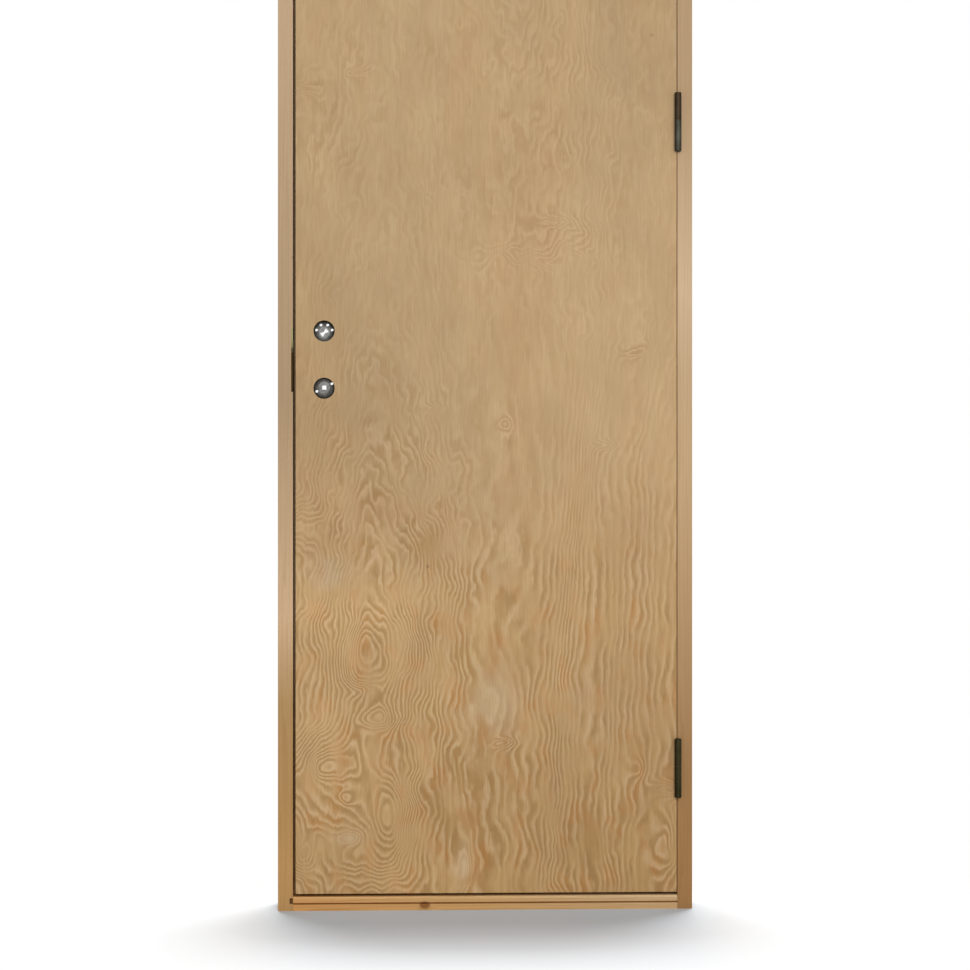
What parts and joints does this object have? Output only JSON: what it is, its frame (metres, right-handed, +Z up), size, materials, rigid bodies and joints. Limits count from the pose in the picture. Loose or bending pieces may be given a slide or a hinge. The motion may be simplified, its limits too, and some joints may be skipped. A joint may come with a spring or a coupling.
{
  "type": "storage_door",
  "caption": "Plywood storage door in a rebated pine frame with a grooved sill, lift-off hinges and empty lock bores",
  "frame": {"origin": "Foot of the hinge jamb's wall face, halfway through the frame's depth, at floor level", "axes": "+X out of the hinge jamb towards the wall, +Y from the front to the back, +Z up"},
  "size_m": [0.79, 0.106, 1.79],
  "materials": {
    "plywood": "matte",
    "frame_pine": "matte",
    "leaf_pine": "matte",
    "seal_rubber": "matte",
    "hinge_steel": "satin",
    "pin_steel": "satin",
    "washer_brass": "satin",
    "lock_steel": "satin"
  },
  "bodies": {
    "frame": {"hinge_jamb": "frame_pine", "lock_jamb": "frame_pine", "head": "frame_pine", "sill": "frame_pine", "hinge_side_seal": "seal_rubber", "lock_side_seal": "seal_rubber", "head_seal": "seal_rubber", "sill_seal": "seal_rubber", "strike_plate": "lock_steel", "upper_hinge_frame_half": "hinge_steel", "lower_hinge_frame_half": "hinge_steel", "upper_hinge_pin": "pin_steel", "lower_hinge_pin": "pin_steel", "upper_hinge_washer": "washer_brass", "lower_hinge_washer": "washer_brass"},
    "leaf": {"front_plywood": "plywood", "back_plywood": "plywood", "hinge_stile": "leaf_pine", "lock_stile": "leaf_pine", "lock_block": "leaf_pine", "top_rail": "leaf_pine", "bottom_rail": "leaf_pine", "upper_hinge_leaf_half": "hinge_steel", "lower_hinge_leaf_half": "hinge_steel", "lock_case": "lock_steel", "lock_forend": "lock_steel", "latch_bolt": "lock_steel", "dead_bolt": "lock_steel", "cylinder_cam": "lock_steel"},
    "follower": {"handle_follower": "lock_steel"}
  },
  "joints": [
    {"name": "leaf_swing", "type": "hinge", "parent": "frame", "child": "leaf", "pos_m": [-0.028, -0.0535, 0.886], "axis": [0, 0, 1], "range_deg": [0, 180]},
    {"name": "follower_turn", "type": "hinge", "parent": "leaf", "child": "follower", "pos_m": [-0.7025, -0.026, 0.9955], "axis": [0, 1, 0], "range_deg": [0, 40], "stiffness_Nm_per_rad": 0.5}
  ]
}
